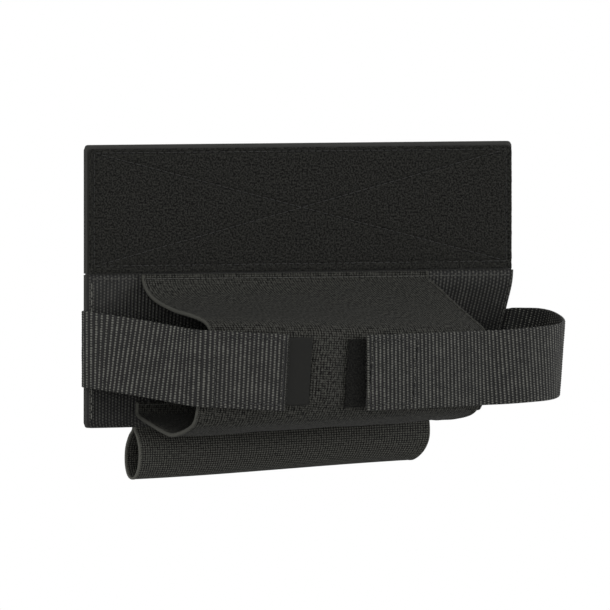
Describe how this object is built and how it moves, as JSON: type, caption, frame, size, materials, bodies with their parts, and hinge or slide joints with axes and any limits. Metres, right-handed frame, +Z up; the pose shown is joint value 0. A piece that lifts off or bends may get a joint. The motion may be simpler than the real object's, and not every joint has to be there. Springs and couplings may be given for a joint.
{
  "type": "tourniquet holder",
  "caption": "Hang-down hook-and-loop holder for a folded tourniquet: hook flap, ribbed panel, open elastic sleeve, wrap-over webbing straps and a lower elastic shears tube.",
  "frame": {"origin": "centre of the flap's rear hook face", "axes": "+X along the panel to the right as seen from the front, +Y towards the wearer, out of the rear hook face, +Z up"},
  "size_m": [0.2661, 0.1083, 0.1664],
  "materials": {
    "hook_tape": "moulded black nylon hooks, matte",
    "loop_pile": "brushed black loop pile",
    "woven_nylon": "plain-woven black nylon",
    "ribbed_webbing": "black nylon webbing with raised cross ribs, semi-matte",
    "elastic_webbing": "black knitted elastic with a fine square grain",
    "sewing_thread": "black bonded thread, slightly glossy",
    "woven_label": "black satin-woven label, blank"
  },
  "bodies": {
    "flap": {"rear_hook_field": "hook_tape", "flap_core": "woven_nylon", "front_loop_field": "loop_pile", "flap_border_thread": "sewing_thread", "flap_cross_thread": "sewing_thread"},
    "pouch": {"rear_lining": "woven_nylon", "pouch_core": "woven_nylon", "ribbed_facing": "ribbed_webbing", "facing_thread_left": "sewing_thread", "facing_thread_right": "sewing_thread", "elastic_sleeve": "elastic_webbing", "sleeve_top_thread": "sewing_thread", "sleeve_bottom_thread": "sewing_thread", "left_loop_patch": "loop_pile", "right_loop_patch": "loop_pile", "tube_thread": "sewing_thread"},
    "left_strap": {"left_strap": "ribbed_webbing"},
    "left_tab": {"left_tab": "ribbed_webbing", "left_hook_patch": "hook_tape", "left_tab_thread": "sewing_thread", "label": "woven_label"},
    "right_strap": {"right_strap": "ribbed_webbing"},
    "right_tab": {"right_tab": "ribbed_webbing", "right_hook_patch": "hook_tape", "right_tab_thread": "sewing_thread"},
    "tube": {"shears_tube": "elastic_webbing"}
  },
  "joints": [
    {"name": "pouch_flex", "type": "hinge", "parent": "flap", "child": "pouch", "pos_m": [0, -0.0051, -0.032], "axis": [-1, 0, 0], "range_deg": [0, 60]},
    {"name": "left_strap_open", "type": "hinge", "parent": "pouch", "child": "left_strap", "pos_m": [-0.1274, -0.003, -0.069], "axis": [0, 0, -1], "range_deg": [0, 100]},
    {"name": "left_tab_peel", "type": "hinge", "parent": "left_strap", "child": "left_tab", "pos_m": [-0.08963, -0.05889, -0.07803], "axis": [0, 0.0757, -0.9971], "range_deg": [0, 110]},
    {"name": "right_strap_open", "type": "hinge", "parent": "pouch", "child": "right_strap", "pos_m": [0.1274, 0.0117, -0.0695], "axis": [0, -0.4147, 0.91], "range_deg": [0, 90]},
    {"name": "right_tab_peel", "type": "hinge", "parent": "right_strap", "child": "right_tab", "pos_m": [0.0751, -0.058, -0.0798], "axis": [0, -0.1918, 0.9814], "range_deg": [0, 110]},
    {"name": "tube_swing", "type": "hinge", "parent": "pouch", "child": "tube", "pos_m": [0, 0.017, -0.1066], "axis": [0.992, 0.1235, 0.0257], "range_deg": [-20, 25]}
  ]
}
